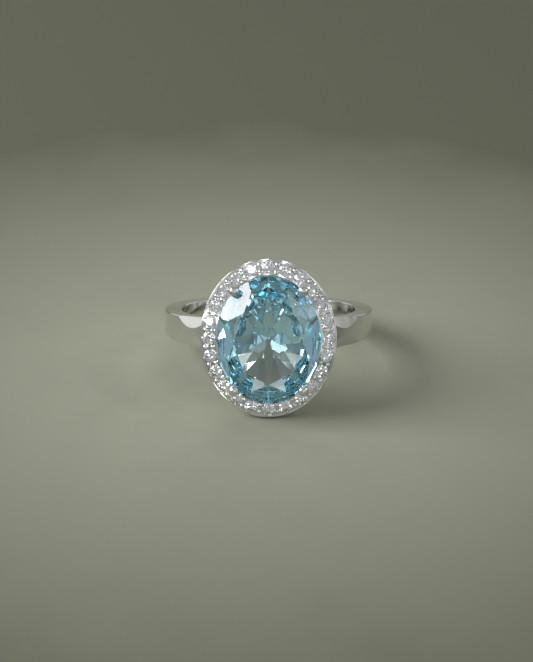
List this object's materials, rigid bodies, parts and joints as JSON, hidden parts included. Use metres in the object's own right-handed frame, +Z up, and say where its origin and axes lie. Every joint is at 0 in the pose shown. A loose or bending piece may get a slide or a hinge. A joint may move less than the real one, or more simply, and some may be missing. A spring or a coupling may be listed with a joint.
{
  "type": "cocktail ring",
  "caption": "Finger ring with a large oval blue stone in a claw basket, a halo of small clear stones and a tapered band with faceted shoulders, lying on its side.",
  "frame": {"origin": "middle of the ring's footprint on the surface that it lies on, which the halo's lower edge and the back of the band touch", "axes": "+Z up from that surface, +X across the finger to the wearer's right hand side as the stone is faced, +Y from the stone to the back of the band; the finger axis leans back from +Z towards +Y by about 18 degrees"},
  "size_m": [0.0207, 0.0244, 0.0148],
  "materials": {
    "white_metal": "polished",
    "blue_stone": "faceted and polished",
    "clear_stone": "faceted and polished"
  },
  "bodies": {
    "root": {"shank": "white_metal", "lower_rail": "white_metal", "bearing_rail": "white_metal", "halo_frame": "white_metal", "halo_grains_outer": "white_metal", "halo_grains_inner": "white_metal", "claw_upper_left": "white_metal", "claw_lower_left": "white_metal", "claw_lower_right": "white_metal", "claw_upper_right": "white_metal", "centre_stone": "blue_stone", "halo_stone_01": "clear_stone", "halo_stone_02": "clear_stone", "halo_stone_03": "clear_stone", "halo_stone_04": "clear_stone", "halo_stone_05": "clear_stone", "halo_stone_06": "clear_stone", "halo_stone_07": "clear_stone", "halo_stone_08": "clear_stone", "halo_stone_09": "clear_stone", "halo_stone_10": "clear_stone", "halo_stone_11": "clear_stone", "halo_stone_12": "clear_stone", "halo_stone_13": "clear_stone", "halo_stone_14": "clear_stone", "halo_stone_15": "clear_stone", "halo_stone_16": "clear_stone", "halo_stone_17": "clear_stone", "halo_stone_18": "clear_stone", "halo_stone_19": "clear_stone", "halo_stone_20": "clear_stone", "halo_stone_21": "clear_stone", "halo_stone_22": "clear_stone", "halo_stone_23": "clear_stone", "halo_stone_24": "clear_stone"}
  },
  "joints": []
}
